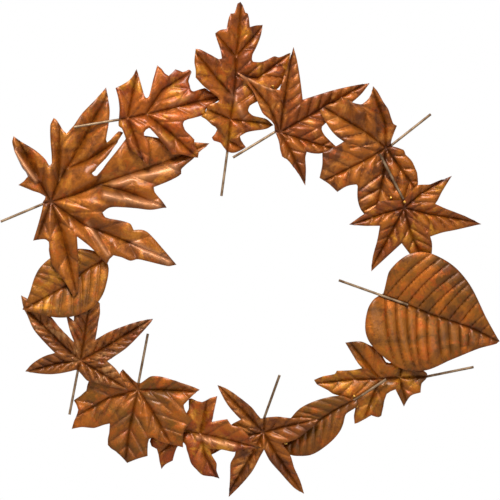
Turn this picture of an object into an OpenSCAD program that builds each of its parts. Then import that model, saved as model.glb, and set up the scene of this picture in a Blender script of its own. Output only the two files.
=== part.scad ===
// Harvest door wreath: fourteen leaves stamped from thin sheet, folded along their
// veins, each brazed to a wire stem and lapped over the next leaf round a ring.
// Each leaf is drawn flat, face up, from its own base, in millimetres on a ring of
// pattern_d. The finished ring is then stood up: X across, Z up, the faces to -Y.

/* [Wreath] */
// Outer diameter of the wreath
wreath_d = 380; // [320:5:460]
// Room left between two lapped leaves besides the wire that passes there
lap_room = 4; // [4:0.5:8]

/* [Leaves] */
// Thickness of the leaf sheet
sheet_t = 0.6; // [0.4:0.05:0.8]
// Height of the folds, as a multiple of the drawn rise
fold = 1; // [0.6:0.05:1.1]
// Swell of the panels between the veins, as a share of their rise
swell = 0.3; // [0:0.05:0.4]

/* [Stems] */
// Diameter of the stem wire
wire_d = 2; // [1.4:0.1:2.4]
// Gap between a wire and the sheet that it is brazed to
wire_gap = 0.1; // [0.05:0.05:0.3]
// Gap between the linden leaf and its wire, which lies on its front
front_wire_gap = 0.55; // [0.45:0.05:0.7]

/* [Brazing] */
// Diameter of the beads of braze that show on the front
bead_d = 2.6; // [2:0.1:3.2]
// Gap between a bead and the sheets that it joins
bead_gap = 0.05; // [0.02:0.01:0.1]

/* [Hidden] */
// Diameter of the ring that the leaves are drawn for
pattern_d = 373;
// Points along the edge from one drawn point to the next
edge_steps = 2;
// Rows of panels from a vein out to the edge
rows = 3;
k = wreath_d / pattern_d;
// Front-to-back step between two leaves where one laps over the next.
lap = lap_room + wire_d;
wire_r = wire_d / 2;
bead_r = bead_d / 2;

// ---- Leaf patterns -------------------------------------------------------------
// A pattern is [base on the ring, veins, edge, stem].
// veins: [x, y] of each point of the vein tree, which stays at the bottom of its fold.
// edge: [x, y, vein, rise, sharp], walked anticlockwise. vein is the vein point that the
// sheet is folded up from, rise the height of the edge there, and sharp marks a corner.
// stem: [way of the free wire in degrees, its length, the length brazed to the leaf,
// side], where side is -1 behind the leaf or 1 in front of it.

linden = [[97, -33.5],
    [[2.5, -0.9], [21, -7.5], [39, -15], [54, -20], [68, -24.5], [80, -30.5]],
    [[1, 0, 0, 0, 1], [-4.5, -3.5, 0, 3], [-9, -11, 0, 4], [-11, -25, 0, 5],
     [-8, -35, 0, 6], [0, -44, 1, 6], [10.5, -52, 1, 6], [21, -56.5, 1, 6],
     [36, -56, 2, 6], [50, -50, 2, 5], [61, -45.5, 3, 4], [75, -40, 4, 3],
     [87, -37, 5, 1], [90, -35, 5, 0, 1], [79, -15.5, 4, 3], [69, 5, 3, 4],
     [57, 20, 2, 5], [43, 29, 2, 6], [31.5, 32, 1, 6], [19, 29, 1, 6],
     [8, 19, 0, 5], [5.5, 12.5, 0, 4], [5, 3, 0, 2]],
    [160.4, 33, 23, 1]];

sweetgum_right = [[114, 39.5],
    [[1.5, -8], [14, 2.5], [26, 10], [19.5, -12.5], [40, -16], [6, -24.5], [12, -39],
     [-7, -24.5], [-16, -41], [-15, -12.5], [-29, -17.5]],
    [[1, -1.5, 0, 1], [-8, -2.5, 9, 3], [-18, -3.5, 9, 3], [-20.5, -7, 9, 3],
     [-31, -14, 10, 2], [-40, -20.5, 10, 1, 1], [-28.5, -21.5, 10, 2], [-22.5, -21.5, 9, 3],
     [-17, -21.5, 0, 4, 1], [-19, -33, 7, 3], [-22, -44.5, 8, 2],
     [-23, -55.5, 8, 1, 1], [-15, -48, 8, 2], [-7.5, -41, 7, 3],
     [-0.5, -34.5, 0, 4, 1], [5, -41.5, 5, 3], [10.5, -48, 6, 2],
     [19.5, -53, 6, 1, 1], [22, -45, 6, 2], [22.5, -35, 5, 3],
     [21, -29.5, 0, 4, 1], [30, -26.5, 3, 3], [40, -24.5, 4, 3],
     [59.5, -20, 4, 1, 1], [47, -14, 4, 2], [32.5, -8.5, 3, 3],
     [24.5, -5, 0, 4, 1], [26.5, -2, 1, 3], [29.5, 4, 2, 3], [37, 16, 2, 1, 1],
     [28.5, 12.5, 2, 2], [20, 9.5, 1, 2], [11.5, 9, 1, 3], [7, 5, 1, 3],
     [3, 0.5, 0, 2]],
    [118, 37, 20, -1]];

maple_right = [[106, 78.5],
    [[-4, -2], [-4.5, 15.5], [-10.5, 32], [-20, 10], [-37, 20], [-19, -11],
     [-37, -20], [-6, -24.5], [-10, -43], [7.5, -18]],
    [[0, 0, 0, 1], [0, 4, 0, 2], [4, 14.5, 1, 2, 1], [1, 16.5, 1, 3],
     [-2.5, 26.5, 2, 3], [-6.5, 32.5, 2, 3], [-10.5, 40, 2, 2], [-14, 44, 2, 1, 1],
     [-15, 39.5, 2, 2], [-18, 34, 2, 3], [-22.5, 30.5, 1, 4], [-25, 30.5, 0, 4],
     [-29, 31.5, 3, 4], [-34, 34.5, 4, 3], [-38, 35.5, 4, 3, 1], [-40, 31.5, 4, 3],
     [-47, 30.5, 4, 2], [-54, 26, 4, 1, 1], [-52, 21.5, 4, 2], [-47, 13, 4, 3],
     [-42, 7, 3, 4], [-36, 2.5, 0, 4, 1], [-41, -0.5, 5, 3], [-47, -3.5, 6, 3],
     [-52, -5.5, 6, 3, 1], [-52, -15, 6, 3], [-54, -24.5, 6, 1, 1],
     [-47, -29, 6, 2], [-40.5, -35, 6, 1, 1], [-34, -31, 6, 3],
     [-26.5, -29.5, 5, 4], [-25.5, -31, 0, 4, 1], [-25.5, -39.5, 7, 3],
     [-23, -48, 8, 2], [-17, -55, 8, 1, 1], [-4.5, -50, 8, 2], [5, -44.5, 7, 3],
     [10.5, -41, 0, 3], [19, -35, 9, 2], [19.5, -22, 9, 3], [18, -17.5, 9, 3],
     [15, -11.5, 9, 3], [10.5, -7, 9, 3, 1], [9, -3.5, 0, 3], [1.5, -1, 0, 2]],
    [38.3, 38.5, 18, -1]];

sweetgum_top = [[19.5, 89],
    [[3, -1], [6, 19.5], [9.5, 42], [22, 10], [44, 22.5], [19.5, -6], [34, -10.5],
     [10.5, -14], [17, -27.5], [-5, 18], [-17, 33]],
    [[-1, 0.5, 0, 1], [1.5, -6, 0, 2], [2.5, -10, 7, 3], [4.5, -19, 7, 3],
     [8.5, -21.5, 7, 3], [17, -32, 8, 2], [22, -40.5, 8, 1, 1],
     [22.5, -28.5, 8, 2], [22, -20, 7, 3], [23, -15.5, 0, 4, 1],
     [27, -16.5, 5, 3], [34, -16.5, 6, 3], [46, -12, 6, 1, 1], [38, -4.5, 6, 2], [35, -0.5, 5, 3],
     [34.5, 3.5, 0, 4], [43, 10.5, 3, 3], [56, 21, 4, 3], [64, 28, 4, 2],
     [70.5, 36.5, 4, 1, 1], [61, 35, 4, 2], [43.5, 31, 4, 3], [29, 26.5, 3, 3],
     [20, 23.5, 0, 4, 1], [18, 39.5, 1, 3], [15.5, 54, 2, 2], [13, 63, 2, 1, 1],
     [9.5, 50.5, 2, 2], [6.5, 43, 2, 3], [4.5, 36, 1, 3], [2.5, 30.5, 0, 4, 1],
     [-7, 32.5, 9, 3], [-17, 37.5, 10, 2], [-29.5, 44, 10, 1, 1],
     [-23.5, 36.5, 10, 2], [-17.5, 30, 10, 2], [-13, 19.5, 9, 3],
     [-9.5, 12.5, 9, 3], [-2, 6, 0, 3]],
    [211.6, 38.5, 20, -1]];

oak_top = [[-17, 73.5],
    [[1, 8], [2.5, 24], [5, 40.5], [6.5, 57], [6.5, 71], [8.5, 85.5], [9.5, 99],
     [0, 78.5], [-8, 55], [-17, 66], [-9.5, 29], [23, 55.5], [36.5, 66],
     [18.5, 85], [18.5, 22.5], [6.5, 5]],
    [[0, 0, 0, 1], [6.5, -0.5, 15, 2], [14, 3.5, 15, 1, 1], [10.5, 8.5, 15, 2],
     [9.5, 11.5, 0, 4, 1], [14.5, 14.5, 1, 3], [21.5, 16, 14, 3],
     [29.5, 17.5, 14, 2], [34.5, 20.5, 14, 1, 1], [29, 25, 14, 2],
     [20, 27, 14, 3], [16, 30, 1, 4], [16, 32.5, 2, 4], [17.5, 35, 2, 3],
     [23, 38, 2, 3], [30, 42.5, 3, 2], [39.5, 49.5, 11, 2], [45, 61, 12, 2],
     [47.5, 75, 12, 1, 1], [39, 71.5, 12, 2], [35, 72, 12, 2], [27, 68, 11, 3],
     [19.5, 67.5, 3, 4], [18.5, 69.5, 3, 4, 1], [19, 73, 4, 4],
     [21.5, 78, 13, 3], [25, 87, 13, 2], [26.5, 95.5, 13, 1, 1],
     [21.5, 95, 13, 2], [17, 93.5, 4, 4, 1], [16.5, 97.5, 5, 3],
     [15.5, 103.5, 6, 2], [13.5, 104.5, 6, 2, 1], [11.5, 110, 6, 1],
     [10, 112.5, 6, 0, 1], [7.5, 111, 6, 1], [5.5, 104, 6, 2],
     [2.5, 103.5, 6, 2, 1], [1, 99.5, 5, 3], [-0.5, 91.5, 4, 4, 1],
     [-5, 91, 7, 2], [-9, 88.5, 7, 1, 1], [-7.5, 83, 7, 2], [-5, 75.5, 7, 3],
     [-4, 69.5, 4, 4, 1], [-6, 69, 3, 4], [-8.5, 70, 2, 4], [-11, 71.5, 8, 3],
     [-14, 73, 9, 3], [-20, 76, 9, 2], [-23.5, 76.5, 9, 1, 1],
     [-24.5, 67, 9, 2], [-23.5, 60.5, 9, 3], [-23.5, 55, 8, 3, 1],
     [-17.5, 48.5, 8, 3], [-9, 42, 2, 4], [-6, 39, 2, 4], [-7.5, 36.5, 1, 4],
     [-14, 35, 10, 3], [-16, 29.5, 10, 2], [-19.5, 26, 10, 1, 1],
     [-16, 24, 10, 2], [-11, 19.5, 10, 3], [-7.5, 16.5, 1, 3],
     [-11.5, 10.5, 0, 2, 1], [-10, 8, 0, 2], [-5, 6.5, 0, 2]],
    [262.4, 34, 22, -1]];

oak_left = [[-98, 97.5],
    [[6.5, 1], [20.5, 4], [35.5, 7.5], [50.5, 11.5], [62.5, 14.5], [10, 19],
     [32.5, 22.5], [44, 30], [38.5, -10], [50.5, -21], [12.5, -15]],
    [[0, -0.5, 0, 1], [0, -5, 0, 2], [2.5, -7, 0, 3], [5, -13.5, 10, 3],
     [8, -22, 10, 3], [14.5, -27, 10, 3], [21.5, -34.5, 10, 1, 1],
     [22.5, -32, 10, 1], [23, -25, 10, 3], [23, -17, 10, 3], [20, -13.5, 0, 4],
     [19, -10, 0, 4], [22.5, -6.5, 1, 4], [24.5, -8, 1, 4], [29.5, -13.5, 8, 3],
     [35, -20, 8, 3], [40, -26.5, 8, 2, 1], [45.5, -26, 9, 3],
     [52.5, -27.5, 9, 2], [59, -28.5, 9, 1, 1], [59.5, -24.5, 9, 2],
     [56, -18.5, 9, 2], [56.5, -15, 9, 3], [50, -8.5, 8, 3], [48, -4, 1, 4, 1],
     [49, -1, 2, 4], [55, 1, 3, 3], [65.5, 4, 3, 2, 1], [65, 8, 4, 3],
     [81, 18.5, 4, 1, 1], [68, 21.5, 4, 2], [64, 24, 4, 2], [56.5, 21.5, 3, 3],
     [54, 22, 2, 4], [53, 25.5, 1, 4], [52, 29.5, 6, 3], [54, 36.5, 7, 2],
     [52, 38, 7, 1, 1], [47.5, 36, 7, 2], [42, 38, 7, 2], [37, 33, 6, 3],
     [32, 38, 6, 2], [28.5, 41, 6, 1, 1], [27.5, 37.5, 6, 2], [25, 28, 6, 3],
     [22.5, 17.5, 1, 4], [20.5, 16, 1, 4], [19, 18.5, 0, 4], [18, 21.5, 5, 3],
     [15, 32, 5, 2], [13, 38, 5, 1, 1], [10.5, 33, 5, 2], [6.5, 28.5, 5, 3],
     [-2.5, 23.5, 5, 2, 1], [-0.5, 16.5, 0, 3], [0.5, 8, 0, 2]],
    [189.9, 34.5, 20, -1]];

big_maple = [[-154, 35],
    [[5, 1], [22, 6], [41, 14], [64, 22], [88, 30], [107, 38], [60, 9], [76, 3],
     [29, -16], [52, -25], [74, -34], [13, -22], [19, -46], [11, 17], [11, 40],
     [17, 26], [26, 42], [38, 65], [-4, 17], [-13, 35], [-1, -16], [32, 32],
     [49, 43]],
    [[-1, -2, 0, 1], [-4, -15, 20, 3], [-8, -28, 20, 2, 1], [0, -27, 0, 4],
     [4, -29, 11, 5], [4, -35, 11, 5], [7, -47, 12, 4], [16, -59, 12, 3],
     [22, -70, 12, 1, 1], [25, -67, 12, 1], [26, -58, 12, 3], [26, -44, 12, 4],
     [25.5, -33, 11, 5], [25, -25, 0, 6, 1], [34, -32, 8, 5], [40, -38, 8, 4],
     [47, -46, 9, 2, 1], [52, -39, 9, 4], [64, -43, 10, 3], [71, -42, 10, 4],
     [92, -47, 10, 3], [99, -46, 10, 2, 1], [94, -40, 10, 3], [88, -33, 10, 4],
     [79, -23, 10, 4], [74, -20, 9, 4], [67, -20, 9, 4, 1], [64, -15, 9, 4],
     [52, -12, 8, 5], [46, -10.5, 8, 5], [44, -7, 0, 6, 1], [49, -3.5, 1, 6],
     [56, -3, 2, 5], [70, -4, 6, 4], [80, -5, 7, 3], [91.5, -3, 7, 2, 1],
     [88, 2, 7, 3], [83, 8, 6, 4], [82, 12, 2, 5, 1], [92, 16, 3, 4],
     [100, 20, 4, 4], [102.5, 22, 4, 4, 1], [103, 26, 4, 4], [111, 33, 5, 3],
     [115.5, 38, 5, 3], [123.5, 45, 5, 2, 1], [112, 46, 5, 2], [101, 47, 5, 2],
     [86, 49, 4, 2], [71, 51, 3, 3], [61.5, 49, 3, 3, 1], [55, 40, 3, 5],
     [47, 30, 2, 5], [39.5, 20.5, 1, 6], [36, 22, 0, 6], [38, 24, 13, 6],
     [40, 27, 15, 5], [47, 34.5, 21, 4], [53, 43.5, 22, 3], [59, 53, 22, 2, 1], [55.5, 54, 22, 2],
     [50, 48, 22, 4], [47, 45.5, 21, 5, 1], [46.5, 48, 15, 6], [48, 57, 16, 5],
     [49, 69, 17, 4], [47.5, 79.5, 17, 3], [46, 87, 17, 1, 1], [37.5, 77, 17, 3],
     [28.5, 67.5, 17, 4], [22.5, 58.5, 16, 5], [19.5, 55, 15, 5],
     [17, 52, 13, 6, 1], [14, 55, 14, 5], [9.5, 62, 14, 4], [7, 64, 14, 2, 1],
     [4.5, 58, 14, 4], [5, 43, 14, 5], [6, 30, 13, 5], [4, 28, 0, 6, 1],
     [1, 33, 18, 5], [-7, 40, 19, 4], [-17, 46, 19, 5], [-22.5, 50, 19, 5, 1],
     [-23.5, 45, 19, 7], [-20, 34.5, 19, 8], [-16, 26, 18, 7], [-12, 20, 18, 5],
     [-19, 13.5, 18, 3, 1], [-8, 9, 18, 3], [1, 5, 0, 2], [-1, 1, 0, 1]],
    [202.9, 36, 24, -1]];

hazel = [[-109, -6],
    [[-4, -3], [-15, -10], [-29, -21], [-43, -29], [-52, -34]],
    [[0, 0, 0, 1], [-7, 5, 0, 3], [-19, 7, 1, 4], [-30, 5, 2, 4], [-39, 1, 2, 4],
     [-48, -7, 3, 4], [-52.5, -15.5, 3, 3], [-55, -24, 4, 3], [-57.5, -31, 4, 2],
     [-61, -38.5, 4, 1, 1], [-53, -41, 4, 2], [-44, -43, 3, 3],
     [-35, -44.5, 2, 3], [-25, -44, 2, 4], [-16, -41, 1, 4], [-7.5, -36, 1, 4],
     [-1.5, -28, 1, 4], [1.5, -19, 0, 4], [3, -9, 0, 3], [2, -4, 0, 2]],
    [32, 33, 18, -1]];

creeper = [[-129, -90],
    [[2, 7], [-12, 19], [-27, 34], [4.5, 22], [7, 39], [19.5, 16.5], [39, 28.5],
     [19, -3], [29, -9], [-15, 5], [-28, 1.5]],
    [[0, 0, 0, 1], [7, -7.5, 7, 3], [14, -9, 7, 3], [24, -12, 8, 3],
     [37.5, -15, 8, 1, 1], [34.5, -7.5, 8, 2], [29, 1, 7, 3], [22.5, 7, 0, 4, 1],
     [28.5, 11, 5, 3], [37, 17, 6, 3], [47, 27, 6, 3], [55, 36, 6, 1],
     [56, 38.5, 6, 1, 1], [47, 37, 6, 2], [37, 34, 6, 3], [23, 28.5, 5, 4],
     [13.5, 23, 0, 4, 1], [14.5, 29, 3, 4], [15.5, 36, 4, 2], [16.5, 50, 4, 1],
     [9, 55.5, 4, 1, 1], [-1.5, 46.5, 4, 2], [-3, 37, 3, 3, 1], [-9, 42, 3, 2, 1],
     [-6, 30, 3, 3], [-2.5, 21, 0, 4, 1], [-13.5, 32, 1, 3], [-20, 40, 2, 3],
     [-30, 49, 2, 2], [-43, 56, 2, 1, 1], [-41, 46.5, 2, 2], [-38, 41, 2, 3],
     [-33.5, 31, 2, 3], [-26, 22, 1, 3], [-17, 13, 0, 4, 1], [-25, 10.5, 9, 3],
     [-34, 5, 10, 2], [-39.5, -1, 10, 1, 1], [-30, -2.5, 10, 2], [-20, -3, 9, 3],
     [-11, -2, 9, 3], [-4, -0.5, 0, 2]],
    [259.3, 34.5, 16, -1]];

maple_left = [[-84, -101],
    [[0, -4], [-3, -17], [-6.5, -34], [-8, -46.5], [-22, -10], [-37.5, -19],
     [-6, 3], [9, -17], [18, -32], [15, -4], [30, -4.5]],
    [[0, 1, 0, 1], [-7.5, 7.5, 6, 2], [-11.5, 11.5, 6, 1, 1], [-13.5, 9, 6, 2],
     [-16.5, 3, 0, 3], [-25.5, 4, 4, 3], [-37, 3, 5, 2], [-39, -4.5, 5, 2],
     [-48.5, -12, 5, 1, 1], [-45, -19, 5, 3], [-48, -27, 5, 2],
     [-50, -33.5, 5, 1, 1], [-42, -32, 5, 2], [-33, -32.5, 5, 3],
     [-25.5, -30, 4, 4], [-21, -29, 0, 4, 1], [-21.5, -36, 1, 4],
     [-22.5, -45, 2, 3], [-17, -49.5, 2, 3], [-12.5, -53.5, 3, 2],
     [-8, -58.5, 3, 1, 1], [0.5, -55, 3, 2], [7.5, -53, 3, 3, 1],
     [7.5, -46.5, 2, 3], [8.5, -40.5, 1, 4], [11.5, -39, 0, 4, 1],
     [16.5, -42, 7, 3], [24, -44, 8, 3], [34, -46.5, 8, 1, 1], [34, -39, 8, 3],
     [35, -33.5, 8, 3], [41, -26, 8, 2, 1], [36.5, -20.5, 7, 4],
     [34.5, -15, 0, 4], [36, -13, 9, 4], [38, -11, 10, 3], [43, -6, 10, 2],
     [46.5, -3.5, 10, 1, 1], [38.5, 0, 10, 3], [29, 3, 10, 4], [19, 6, 9, 4],
     [10, 6.5, 9, 3], [4.5, 3, 0, 2]],
    [79.3, 39.5, 20, -1]];

oak_bottom = [[-52.5, -135],
    [[4.5, -1], [15, -3], [26, -5], [39, -8], [51, -11], [18.5, 13], [18.5, -19],
     [24, -28.5], [-7.5, -11]],
    [[-3, 1.5, 0, 2], [-22, -6, 8, 2], [-21.5, -12.5, 8, 2], [-17.5, -14.5, 8, 2],
     [-15.5, -23.5, 8, 2], [-14, -29.5, 8, 1, 1], [-11, -26, 8, 2],
     [-5.5, -23, 8, 2, 1], [-2, -12.5, 0, 3], [3, -9.5, 0, 3], [5, -14.5, 1, 3],
     [6.5, -19, 6, 3], [8.5, -25, 6, 3], [12.5, -29.5, 7, 2], [17, -33.5, 7, 2],
     [24.5, -34.5, 7, 2], [29.5, -36, 7, 1, 1], [27.5, -30, 7, 2],
     [27.5, -24.5, 7, 3], [24, -18.5, 6, 3], [22.5, -13.5, 1, 4, 1],
     [33, -14.5, 2, 3], [40.5, -16, 3, 2], [44.5, -14.5, 3, 2],
     [52.5, -14, 4, 2], [61, -13, 4, 1, 1], [55, -9, 4, 2], [50, -2, 3, 3],
     [44, 2.5, 3, 3], [39, 4, 3, 3], [35.5, 8.5, 2, 2, 1], [29, 7.5, 2, 3],
     [24, 6.5, 1, 4, 1], [26, 16, 5, 3], [28, 25.5, 5, 1, 1], [22.5, 24, 5, 2],
     [16.5, 21, 5, 3], [9, 23.5, 5, 2, 1], [6.5, 23, 5, 2], [6.5, 16, 1, 3],
     [2, 9, 0, 3], [-2, 4, 0, 2]],
    [172, 34, 20, -1]];

sweetgum_bottom = [[11, -125],
    [[-1, -12], [-12, 0], [-25, 13], [-16.5, -15], [-32, -20.5], [-11, -31],
     [-20, -46], [9, -28.5], [20, -45], [14, -7.5], [28.5, -4]],
    [[0, -0.5, 0, 1], [-3, -1, 0, 2], [-9, 6.5, 1, 3], [-18, 14, 2, 3],
     [-28.5, 21, 2, 2], [-35.5, 23.5, 2, 1, 1], [-31, 14, 2, 2], [-26, 6.5, 1, 3],
     [-18, -2, 0, 4, 1], [-25, -6, 3, 3], [-35, -16, 4, 2],
     [-46.5, -30, 4, 1, 1], [-40, -29, 4, 2], [-31.5, -24.5, 3, 3],
     [-21.5, -24, 0, 4], [-25.5, -34.5, 5, 3], [-26, -45, 6, 3],
     [-27, -61, 6, 1, 1], [-24.5, -58.5, 6, 1], [-16.5, -50, 6, 3],
     [-9, -40.5, 5, 3], [-4, -31, 5, 3], [-0.5, -24.5, 0, 4, 1], [4, -33, 7, 3],
     [11.5, -41.5, 8, 3], [22, -53, 8, 2], [29.5, -57.5, 8, 1, 1],
     [26.5, -47.5, 8, 2], [22, -37.5, 7, 3], [19, -28, 7, 3],
     [12.5, -19.5, 0, 4, 1], [23, -16.5, 9, 3], [32, -10, 10, 2],
     [40.5, -2, 10, 1, 1], [30, 0, 10, 2], [20, -0.5, 9, 3], [10.5, 0.5, 9, 3],
     [4, 0, 0, 2]],
    [70.4, 34, 30.5, -1]];

beech = [[78, -112.5],
    [[-4, -2], [-15, -8], [-27, -16], [-38, -24], [-47, -31]],
    [[0, 0, 0, 1], [-3, 1, 0, 1], [-9, 3.5, 1, 2], [-19.5, 2.5, 1, 3],
     [-31, -1, 2, 4], [-40.5, -6, 3, 4], [-47, -13, 3, 3], [-52, -20, 4, 3],
     [-55, -30, 4, 2], [-55, -38, 4, 1, 1], [-47, -41.5, 4, 2],
     [-40.5, -42, 3, 3], [-32.5, -41, 3, 4], [-25, -37, 2, 4],
     [-16, -29.5, 2, 4], [-10.5, -22.5, 1, 4], [-8, -16.5, 1, 3], [-6, -10, 0, 2],
     [1.5, -5, 0, 2], [3, -1, 0, 1]],
    [33.9, 29, 18, -1]];

oak_right = [[133.5, -95],
    [[-7, 0], [-21, -1], [-36, -2], [-55, -2.5], [-70, -4], [-46.5, 11],
     [-42, -17], [-18, -12]],
    [[0, 0, 0, 1], [-3, 4.5, 0, 2], [-12, 6, 1, 2], [-18, 19, 1, 1, 1],
     [-27, 11, 1, 3], [-31.5, 11, 2, 3], [-36, 19, 5, 2], [-44.5, 24, 5, 2],
     [-51, 26.5, 5, 2], [-62, 25.5, 5, 1, 1], [-57.5, 18, 5, 2],
     [-52.5, 10, 5, 3], [-49.5, 6.5, 2, 4, 1], [-56.5, 5, 3, 3],
     [-68.5, 4.5, 3, 3, 1], [-70, 2, 4, 2], [-78, 0.5, 4, 2],
     [-85.5, -2.5, 4, 1, 1], [-83, -6, 4, 1], [-75.5, -10, 4, 2],
     [-71, -13, 4, 2], [-64.5, -15, 3, 2], [-57, -19, 2, 2],
     [-54.5, -22.5, 6, 2], [-55.5, -29, 6, 2], [-55, -35.5, 6, 1, 1],
     [-52, -34.5, 6, 1], [-42.5, -29, 6, 3, 1], [-37.5, -30.5, 6, 2],
     [-35, -29.5, 6, 2, 1], [-33.5, -22.5, 6, 3], [-31, -13, 2, 3],
     [-24.5, -9.5, 1, 4, 1], [-21.5, -15.5, 7, 3], [-18, -22.5, 7, 1, 1],
     [-13, -14.5, 7, 3], [-5.5, -12, 1, 2, 1], [-4.5, -5, 0, 2]],
    [11.4, 36, 22, -1]];

// The leaves in lapping order: each lies over the next, and the first over the last too.
leaves = [linden, sweetgum_right, maple_right, sweetgum_top, oak_top, oak_left,
    big_maple, hazel, creeper, maple_left, oak_bottom, sweetgum_bottom, beech,
    oak_right];
last = len(leaves) - 1;

// Where each leaf is brazed to the next one, and the first to the last, on the drawn ring.
laps = [[125, -5], [106, 34.5], [60.5, 101.5], [7, 116.5], [-21.5, 115.5], [-50, 79],
    [-130, -9.5], [-163.5, -41.5], [-98.5, -100], [-48, -128], [-4.5, -145], [31, -131],
    [79.3, -116.3], [111.5, -84]];

// Beads that show: the leaf that each sits on, and its place on the drawn ring.
front_spots = [[1, [115.5, 36]], [2, [105.5, 39]], [4, [17, 122.8]], [12, [27, -145]],
    [13, [78, -109.5]]];

// ---- Shape of a leaf ------------------------------------------------------------
function unit(v) = v / max(norm(v), 0.001);
function plan(p) = [p.x, p.y];

// Way that the edge runs through drawn point i, or along the span at a sharp point.
function heading(edge, i, span) =
    let (n = len(edge))
    edge[i][4] == 1 ? span
    : unit(plan(edge[(i + 1) % n]) - plan(edge[(i + n - 1) % n])) * norm(span);

// A smooth edge through the drawn points: [x, y, vein, rise].
function smooth_edge(edge) = [
    for (i = [0 : len(edge) - 1])
        let (j = (i + 1) % len(edge), a = plan(edge[i]), b = plan(edge[j]),
             ta = heading(edge, i, b - a), tb = heading(edge, j, b - a))
        for (s = [0 : edge_steps - 1])
            let (t = s / edge_steps,
                 p = (2 * t ^ 3 - 3 * t ^ 2 + 1) * a + (t ^ 3 - 2 * t ^ 2 + t) * ta
                     + (3 * t ^ 2 - 2 * t ^ 3) * b + (t ^ 3 - t ^ 2) * tb)
            [p.x, p.y, edge[i][2], edge[i][3] + t * (edge[j][3] - edge[i][3])]
];

// Level of leaf n's own plane at point p of the ring: it climbs from the lap where the
// leaf before covers it to the lap where it covers the next.
function plane_level(n, p) =
    n == 0 ? 0
    : n == last ? -lap / 2
    : let (from = laps[n - 1] * k, way = laps[n] * k - from)
      lap * ((p - from) * way / (way * way) - 1 / 2);

// Height of the fold over that plane, at share t of the way from vein to edge.
function fold_height(rise, t) = fold * rise * (t + swell * sin(180 * t));

// Front corners of leaf n: its vein points, then the rows of points out to the edge.
function corners(n) =
    let (base = leaves[n][0], veins = leaves[n][1], edge = smooth_edge(leaves[n][2]))
    concat(
        [for (v = veins) let (p = (base + v) * k) [p.x, p.y, plane_level(n, p)]],
        [for (row = [1 : rows]) for (e = edge)
            let (t = row / rows, p = (base + veins[e[2]] * (1 - t) + plan(e) * t) * k)
            [p.x, p.y, plane_level(n, p) + fold_height(e[3], t)]]
    );

// Front triangles of leaf n, clockwise as seen from the front.
function front_faces(n) =
    let (v = len(leaves[n][1]), edge = smooth_edge(leaves[n][2]), m = len(edge))
    [for (row = [0 : rows - 1]) for (i = [0 : m - 1])
        let (j = (i + 1) % m,
             a = row == 0 ? edge[i][2] : v + (row - 1) * m + i,
             b = row == 0 ? edge[j][2] : v + (row - 1) * m + j,
             c = v + row * m + j, d = v + row * m + i)
        for (face = [[a, c, d], if (a != b) [a, b, c]]) face];

module leaf(n) {
    front = corners(n);
    faces = front_faces(n);
    count = len(front);
    m = len(leaves[n][2]) * edge_steps;
    rim = count - m;
    half = [0, 0, sheet_t / 2];
    stand_up() polyhedron(
        points = concat([for (p = front) p + half], [for (p = front) p - half]),
        faces = concat(
            faces,
            [for (f = faces) [f[0] + count, f[2] + count, f[1] + count]],
            [for (i = [0 : m - 1]) let (a = rim + i, b = rim + (i + 1) % m)
                for (f = [[a, b, b + count], [a, b + count, a + count]]) f]
        )
    );
}

// The ring is drawn face up, and hangs with its face to -Y.
module stand_up() {
    rotate([90, 0, 0]) children();
}

// ---- Stems ----------------------------------------------------------------------
// A point of leaf n's stem wire, a length out from the leaf's base.
function wire_point(n, length) =
    let (stem = leaves[n][3],
         p = leaves[n][0] * k + length * [cos(stem[0]), sin(stem[0])])
    [p.x, p.y, plane_level(n, p)
        + stem[3] * (sheet_t / 2 + wire_r + (stem[3] < 0 ? wire_gap : front_wire_gap))];

module stem(n) {
    from = wire_point(n, -leaves[n][3][2]);
    way = wire_point(n, leaves[n][3][1]) - from;
    color([0.32, 0.24, 0.17]) stand_up()
        translate(from)
            rotate([0, acos(way.z / norm(way)), atan2(way.y, way.x)])
                cylinder(r = wire_r, h = norm(way), $fn = 32);
}

// ---- Brazing --------------------------------------------------------------------
// Share of each corner of a triangle at point p, or a negative share outside it.
function shares(a, b, c, p) =
    let (area = cross(b - a, c - a))
    abs(area) < 0.000001 ? [-1, -1, -1]
    : let (u = cross(b - p, c - p) / area, v = cross(c - p, a - p) / area)
      [u, v, 1 - u - v];

// Level of the middle of leaf n's sheet at point p of the ring.
function sheet_level(n, p) =
    let (front = corners(n),
         hits = [for (f = front_faces(n))
             let (s = shares(plan(front[f[0]]), plan(front[f[1]]), plan(front[f[2]]), p))
             if (min(s) >= 0)
                 s * [front[f[0]].z, front[f[1]].z, front[f[2]].z]])
    hits[0];

// A bead between leaf n and the leaf m that it covers, as big as the gap allows.
module lap_bead(n, m, p) {
    at = p * k;
    low = sheet_level(m, at) + sheet_t / 2;
    high = sheet_level(n, at) - sheet_t / 2;
    translate([at.x, at.y, (low + high) / 2])
        sphere(d = (high - low) * 0.86 - 2 * bead_gap, $fn = 24);
}

// A bead that sits on the front of leaf n.
module front_bead(n, p) {
    at = p * k;
    translate([at.x, at.y, sheet_level(n, at) + sheet_t / 2 + bead_gap + bead_r * 1.12])
        sphere(r = bead_r, $fn = 24);
}

// ---- Nodes ----------------------------------------------------------------------
copper = [0.66, 0.36, 0.14];
module linden_leaf() { color(copper) leaf(0); }
module sweetgum_leaf_right() { color(copper) leaf(1); }
module maple_leaf_right() { color(copper) leaf(2); }
module sweetgum_leaf_top() { color(copper) leaf(3); }
module oak_leaf_top() { color(copper) leaf(4); }
module oak_leaf_left() { color(copper) leaf(5); }
module big_maple_leaf() { color(copper) leaf(6); }
module hazel_leaf() { color(copper) leaf(7); }
module creeper_leaf() { color(copper) leaf(8); }
module maple_leaf_left() { color(copper) leaf(9); }
module oak_leaf_bottom() { color(copper) leaf(10); }
module sweetgum_leaf_bottom() { color(copper) leaf(11); }
module beech_leaf() { color(copper) leaf(12); }
module oak_leaf_right() { color(copper) leaf(13); }

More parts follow.
